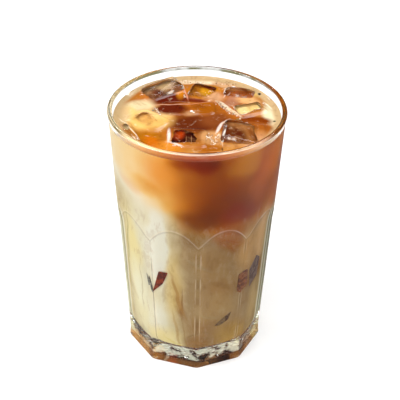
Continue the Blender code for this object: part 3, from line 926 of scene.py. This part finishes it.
# Clear coffee over milky coffee, as seen through the wall
def wallPaint(shade, fields):
    azimuth, marble, drift = fields["azimuth"], fields["marble"], fields["drift"]
    # the back is the front's mirror image
    side = (90 - (azimuth.math("ABSOLUTE") - 90).math("ABSOLUTE")) * azimuth.math("SIGN")
    across, up = flow["wallDrift"]
    field = shade.join(side + drift[0] * across, fields["height"] + drift[1] * up, 1.0)
    side, height = shade.split(field)[:2]

    strength = strongerAcross(side, flow["coffeeFar"]) + strongerAcross(side, flow["coffeeNear"])
    strength = shade.strengthen(field, wallSpots, strength + flow["coffee"]) + marble * flow["coffeeMarble"]
    fromBoundary = height - (flow["boundary"] - side.step(*flow["boundaryAcross"]) * flow["boundaryDrop"])
    reach, share = flow["clearing"]
    clearing = fromBoundary.step(*reach)
    strength = strength * (clearing * share + (1 - share))
    strength = strength - (1 - clearing) * strongerAcross(side, flow["milkyLeft"])

    tint = strongerAcross(side, flow["milkNear"]) + flow["milk"] + strongerAcross(side, flow["milkFar"])
    tint = shade.strengthen(field, milkSpots, tint)
    tint = tint + (fields["swirl"] - 0.5) * flow["milkSwirl"] + marble * flow["milkMarble"]
    colour = shade.mix(fromBoundary.step(*flow["meeting"]), shade.ramp(tint, milkyStops),
                       shade.ramp(strength, clearStops))
    colour = shade.paintSpots(field, wallPatches, colour)
    colour = shade.paintLines(field, wallLines, colour)

    thin = flow["veinAcross"]
    where = shade.join(fields["x"] * thin + drift[0] * flow["veinDrift"], fields["y"] * thin,
                       fields["z"] * flow["veinUp"])
    veined = fields["height"].step(*flow["veined"])
    veins = shade.grain(where, *flow["veins"])
    colour = shade.stain(veins, flow["darkVein"], flow["paleVein"], colour, veined)
    # over the drink's colours go the painted highlight and painted shade lines from the glass's sides and
    # arches
    return paintArchLight(shade, fields, paintSideLight(shade, fields, colour))


# painted highlight and painted shade lines at both sides, where the glass's facets split the view
def paintSideLight(shade, fields, under):
    lines = sideLightLines
    thin = lines["wobbleAcross"]
    where = shade.join(fields["x"] * thin, fields["y"] * thin, fields["z"] * lines["wobbleUp"])
    wobble = shade.grain(where, *lines["wobble"]) - 0.5
    away = fields["azimuth"].math("ABSOLUTE")
    inner, outer = away + wobble * lines["wobbleInner"], away + wobble * lines["wobbleOuter"]
    colour = shade.ramp((outer - lines["from"]) * (1 / lines["width"]), sideLightStops, "LINEAR")
    strip = inner.step(*lines["inner"]) * outer.step(*lines["outer"])
    return shade.mix(strip * fields["height"].band(*lines["height"]) * lines["weight"], under, colour)


# painted shade under the arches and along the ribs, with painted highlight lines on them
def paintArchLight(shade, fields, under):
    lines = archLightLines
    height = fields["height"]
    facet = (fields["azimuth"] - glass["frontRib"]) * (glass["sides"] / 360)
    across = (facet - facet.math("FLOOR") - 0.5) * 2
    archHeight = (glass["archTop"] - glass["ribTop"]) / mm
    fromArch = height - (glass["archTop"] / mm - lines["drop"] - across * across * archHeight)
    fromRib = (1 - across.math("ABSOLUTE")) * lines["halfSide"]
    below = height.step(*lines["ribBelow"])
    broken = fields["swirl"].step(*lines["broken"])
    uneven, even = lines["ribShadeWeight"]
    dark = fromArch.band(*lines["shade"]) * lines["archShadeWeight"]
    dark = dark + fromRib.step(*lines["ribShade"]) * below * (broken * uneven + even)
    uneven, even = lines["archLineWeight"]
    pale = fromArch.band(*lines["line"]) * (broken * uneven + even)
    pale = pale + fromRib.band(*lines["ribLine"]) * below * broken * lines["ribLineWeight"]
    return shade.mix(pale, shade.mix(dark, under, lines["dark"]), lines["pale"])


# The drink's top, with its edge at the wall, and what is seen in the sockets through the ice
def topPaint(shade, fields):
    x, y, drift, fine = fields["x"], fields["y"], fields["drift"], fields["fine"]
    topX, topY = x * 1000 + drift[0] * flow["topDrift"], y * 1000
    topDrift = drift[1] * flow["topDrift"]
    field = shade.join(topX, topY - flow["topShift"] + topDrift, 1.0)
    socketField = shade.join(topX, topY - flow["socketShift"] + topDrift, 1.0)

    reach, dark, pale = flow["topSwirl"]
    colour = shade.paintSpots(field, topSpots, shade.mix(fields["swirl"].step(*reach), dark, pale))
    margin = shade.ramp(fields["azimuth"] * (1 / 360) + 0.5, marginStops)
    outward = fields["fromAxis"] + drift[2] * flow["marginDrift"]
    outward = outward + strongerAcross(y * -1000, flow["frontMargin"])
    colour = shade.mix(outward.step(*flow["margin"]), colour, margin)

    socket = shade.paintSpots(socketField, socketSpots, colour)
    reach, weight, pale = flow["socketGrain"]
    socket = shade.mix(fine.step(*reach) * weight, socket, pale)
    colour = shade.mix(fields["height"].step(*flow["socketHeight"]), socket, colour)

    # painted highlights and painted shade along wet edges, then the specks with their painted glints
    colour = shade.paintLines(field, topLines, colour)
    for middle, size, speck in topSpecksAndGlints:
        colour = shade.mix(shade.spot(field, middle, (size, size), 0, flow["speckSoft"]), colour, speck)
    shift = shade.join(drift[0] * flow["streakDrift"], drift[1] * flow["streakDrift"])
    streaks = shade.grain(shade.vector("ADD", fields["place"], shift), *flow["streaks"])
    return shade.stain(streaks, flow["darkStreak"], flow["paleStreak"], colour)


def drinkLook():
    shade = Shade("icedCoffee")
    fields = drinkFields(shade)
    wall, top = wallPaint(shade, fields), topPaint(shade, fields)
    slope = (glass["rimRadius"] - 2 * glass["lip"] - glass["kneeRadius"]) / (
        glass["height"] - glass["lip"] - glass["kneeHeight"])
    innerRadius = (fields["height"] - glass["kneeHeight"] / mm) * slope + glass["kneeRadius"] / mm
    fromWall = innerRadius - fields["fromAxis"]
    onWall = fromWall.step(*flow["atWall"]) * (1 - shade.upward().step(*flow["level"]))
    return shade.finish(Base_Color=shade.mix(onWall, top, wall), Roughness=0.35, Specular_IOR_Level=0.0,
                        Coat_Weight=1 - onWall, Coat_Roughness=0.03, Coat_IOR=flow["bend"],
                        Normal=shade.bump(fields["fine"], 0.08, 0.001))


# Wet clear ice, with white patches of painted highlight along its rounded edges
def iceLook():
    shade = Shade("meltingIce")
    place = shade.place()
    fine = shade.grain(place, *ice["fineGrain"])
    shade.finish(Base_Color=ice["colour"], Roughness=0.02, IOR=ice["bend"], Transmission_Weight=1.0,
                 Coat_Weight=0.3, Coat_IOR=1.31, Coat_Roughness=0.02, Normal=shade.bump(fine, 0.10, 0.001))
    # white diffuse cover for the painted highlight on the edges
    frost = shade.node("ShaderNodeBsdfDiffuse", {}, {"Color": rgb(ice["edgeHighlightColour"])})
    edge = shade.node("ShaderNodeAttribute", {"attribute_name": "edge"}, {}, 2)
    patches = shade.grain(place, *ice["patchGrain"]).step(0.44, 0.60) * fine.step(0.30, 0.52)
    return shade.blend(edge.step(0.25, 0.85) * patches * ice["frost"], frost)


def makeIce():
    look = iceLook()
    for seed, (node, block) in enumerate(iceBlocks.items()):
        words = node.split("_")
        name = words[0] + "".join(word.title() for word in words[1:])
        addPiece(name, iceBlock(block, seed), look, "clear_ice", node)


# Froth: bubbles on the drink, in patches and strips (from, to, half width in millimetres, number)
froth = {
    "seed": 7, "smallest": 0.00014, "largest": 0.00046, "fewLarge": 2.5, "sunk": 0.35,
    "fromWall": 0.001, "fromIce": 0.0003, "spread": 0.5,
    "grain": (900.0, 1.0, 0.5), "stops": [(0.35, "#8A5A30"), (0.5, "#D8B084"), (0.62, "#FFF4E4")],
    "strips": [
        ((9, 17), (14, 8.5), 1.6, 70),
        ((14, 8.5), (22, -0.5), 1.5, 80),
        ((4, -16), (9, -25), 2.6, 120),
        ((9.5, -15), (11, -26), 1.0, 50),
        ((16, -2), (25, -6), 1.2, 60),
        ((-8, 36.5), (20, 34), 1.6, 90),
        ((-21, 9), (-18, 1), 0.8, 45),
        ((-7, -28.4), (-13, -25.8), 0.6, 50),
        ((-13.6, -15), (-13.8, -25), 0.5, 50),
        ((-36, -8), (-28, -22), 0.7, 50),
        ((26, 18), (35, 13), 0.8, 40),
        ((-7.2, 29), (-6.2, 20), 0.6, 40),
        ((-29, 21.5), (-19, 20), 0.7, 50),
    ],
}


def frothLook():
    shade = Shade("froth")
    colour = shade.ramp(shade.grain(shade.place(), *froth["grain"]), froth["stops"])
    return shade.finish(Base_Color=colour, Roughness=0.25, Coat_Weight=0.8, Coat_Roughness=0.03)


def makeFroth():
    draw = random.Random(froth["seed"])
    topRadius = radiusAt(innerWall(-drink["intoWall"]), drink["level"])
    bm = bmesh.new()
    for first, second, half, count in froth["strips"]:
        along = Vector(second) - Vector(first)
        across = along.orthogonal().normalized()
        for number in range(count):
            place = Vector(first) + along * draw.random() + across * half * draw.gauss(0, froth["spread"])
            x, y = place * mm
            fromIce = min(fromBlock(block, x, y) for block in iceBlocks.values())
            if math.hypot(x, y) > topRadius - froth["fromWall"] or fromIce < froth["fromIce"]:
                continue
            larger = draw.random() ** froth["fewLarge"]
            radius = froth["smallest"] + (froth["largest"] - froth["smallest"]) * larger
            height = topHeight(x, y, topRadius) + radius * (1 - 2 * froth["sunk"])
            bmesh.ops.create_icosphere(bm, subdivisions=1, radius=radius,
                                       matrix=Matrix.Translation((x, y, height)))
    addPiece("froth", bm, frothLook(), "milky_coffee")


# Ice sunk in the drink that touches the wall: corners (azimuth and height in millimetres) and colours
sunkIce = {
    "proud": 0.00070, "depth": 0.0028, "shrink": 0.75, "rounding": 0.0005,
    "grain": (380.0, 2.0, 0.5), "spread": (0.42, 0.58),
    "chunks": {
        "sunkIceFront": ([(-30.5, 60.5), (-22.2, 61.0), (-27.5, 52.5), (-37.5, 45.5)], "#8E3414", "#5A1804"),
        "sunkIceRight": ([(38.5, 57), (45.5, 59), (47, 49), (42, 44), (38, 46)], "#9A5A2C", "#6A3410"),
        "sunkIceSide": ([(48.5, 57), (60, 62), (67, 58), (65, 47), (52, 44)], "#86685C", "#6A4C40"),
        "sunkIceLow": ([(18, 26), (25, 29.5), (34, 33), (31, 28), (23, 25.5)], "#8A6A40", "#5C3A1C"),
        "sunkIceFoot": ([(-38, 11.6), (-35, 11.9), (-34.6, 10.6), (-37, 10.4)], "#40200C", "#2A1206"),
        "sunkIceLeft": ([(-41.2, 57), (-40.2, 56), (-37.8, 48), (-37.4, 44.5), (-38.8, 46.5)],
                        "#5C584E", "#8C8478"),
    },
}


def sunkIceLook(name, middle, rim):
    shade = Shade(name + "Tint")
    tone = shade.grain(shade.place(), *sunkIce["grain"])
    colour = shade.mix(tone.step(*sunkIce["spread"]), middle, rim)
    return shade.finish(Base_Color=colour, Roughness=0.3, Specular_IOR_Level=0.2)


def makeSunkIce():
    wall = innerWall()
    for name, (corners, middle, rim) in sunkIce["chunks"].items():
        bm = bmesh.new()
        verts = []
        for azimuth, height in corners:
            angle = math.radians(azimuth)
            radius = radiusAt(wall, height * mm) + sunkIce["proud"]
            verts.append(bm.verts.new((radius * math.sin(angle), -radius * math.cos(angle), height * mm)))
        bm.faces.new(verts)
        bmesh.ops.bevel(bm, geom=verts, offset=sunkIce["rounding"], offset_type="OFFSET", affect="VERTICES",
                        segments=2, profile=0.5, material=-1)
        centre = sum((vert.co for vert in bm.verts), Vector()) / len(bm.verts)
        back = bmesh.ops.extrude_face_region(bm, geom=bm.faces[:])["geom"]
        inner = [item for item in back if isinstance(item, bmesh.types.BMVert)]
        inward = Vector((-centre.x, -centre.y, 0)).normalized() * sunkIce["depth"]
        for vert in inner:
            vert.co = centre + (vert.co - centre) * sunkIce["shrink"] + inward
        bmesh.ops.recalc_face_normals(bm, faces=bm.faces[:])
        addPiece(name, bm, sunkIceLook(name, middle, rim), "clear_ice")


makeGlass()
print("glass made")
look = drinkLook()
makeMilk(look)
makeCoffee(look)
print("drink made")
makeIce()
makeSunkIce()
makeFroth()
print("ice and froth made")


# Floor, light and camera
studio = {
    "floorSize": 3.0, "floorColour": (0.62, 0.62, 0.62, 1), "floorGlow": 0.42,
    "floorDrop": 0.00015, "skyLow": 0.07, "skyHigh": 1.35, "skyFrom": 0.62, "skyTo": 0.92,
    "frontLight": 1.6, "frontFrom": (-0.45, -0.89, 0.0), "frontStart": 0.15, "frontEnd": 0.85,
    "lamps": [
        {"at": (-0.75, -0.25, 0.75), "size": 0.35, "power": 6.0},
        {"at": (0.25, 0.55, 0.95), "size": 0.40, "power": 3.0},
        {"at": (-0.50, 0.60, 0.78), "size": 0.10, "power": 0.9},
        {"at": (0.55, 0.50, 0.80), "size": 0.10, "power": 0.9},
    ],
    "distance": 0.660, "elevation": 34.965, "roll": 0.853, "aimRight": 0.1984, "aimUp": 1.0117,
    "lens": 114.29, "sensor": 36.0, "nearest": 0.01,
}


def makeStudio():
    bm = bmesh.new()
    bmesh.ops.create_grid(bm, x_segments=1, y_segments=1, size=studio["floorSize"])
    bmesh.ops.translate(bm, verts=bm.verts[:], vec=(0, 0, -studio["floorDrop"]))
    mesh = bpy.data.meshes.new("floor")
    bm.to_mesh(mesh)
    bm.free()
    floor = bpy.data.objects.new("floor", mesh)
    bpy.context.scene.collection.objects.link(floor)
    shade = Shade("paleFloor")
    pale = shade.finish(Base_Color=studio["floorColour"], Roughness=0.9, Specular_IOR_Level=0.0,
                        Emission_Color=(1, 1, 1, 1), Emission_Strength=studio["floorGlow"])
    mesh.materials.append(pale)

    # the sky is dark near the horizon and bright above, as in a studio with soft boxes overhead
    sky = Shade("softLight", bpy.data.worlds)
    direction = sky.place()
    z = sky.split(direction)[2]
    bright = z.step(studio["skyFrom"], studio["skyTo"]) * (studio["skyHigh"] - studio["skyLow"])
    bright = bright + studio["skyLow"]
    front = sky.vector("DOT_PRODUCT", direction, studio["frontFrom"])
    bright = bright + front.step(studio["frontStart"], studio["frontEnd"]) * studio["frontLight"]
    sky.feed(sky.tree.nodes["Background"].inputs["Strength"], bright)
    sky.feed(sky.tree.nodes["Background"].inputs["Color"], (1, 1, 1, 1))
    bpy.context.scene.world = sky.material
    bpy.context.scene.view_settings.view_transform = "Standard"

    middle = Vector((0, 0, glass["height"] / 2))
    for number, lamp in enumerate(studio["lamps"]):
        light = bpy.data.lights.new(f"softbox{number + 1}", "AREA")
        light.energy = lamp["power"]
        light.size = lamp["size"]
        holder = bpy.data.objects.new(light.name, light)
        at = Vector(lamp["at"])
        aim = (middle - at).to_track_quat("-Z", "Y").to_matrix().to_4x4()
        holder.matrix_world = Matrix.Translation(at) @ aim
        bpy.context.scene.collection.objects.link(holder)

    elevation = math.radians(studio["elevation"])
    back = Vector((0, -math.cos(elevation), math.sin(elevation)))
    camera = bpy.data.cameras.new("camera")
    camera.lens = studio["lens"]
    camera.sensor_width = studio["sensor"]
    camera.clip_start = studio["nearest"]
    holder = bpy.data.objects.new("camera", camera)
    turn = Matrix.Rotation(math.pi / 2 - elevation, 4, "X")
    turn = turn @ Matrix.Rotation(math.radians(studio["roll"]), 4, "Z")
    turn = turn @ Matrix.Rotation(-math.radians(studio["aimRight"]), 4, "Y")
    turn = turn @ Matrix.Rotation(math.radians(studio["aimUp"]), 4, "X")
    holder.matrix_world = Matrix.Translation(middle + back * studio["distance"]) @ turn
    bpy.context.scene.collection.objects.link(holder)
    bpy.context.scene.camera = holder


makeStudio()
print("studio made")
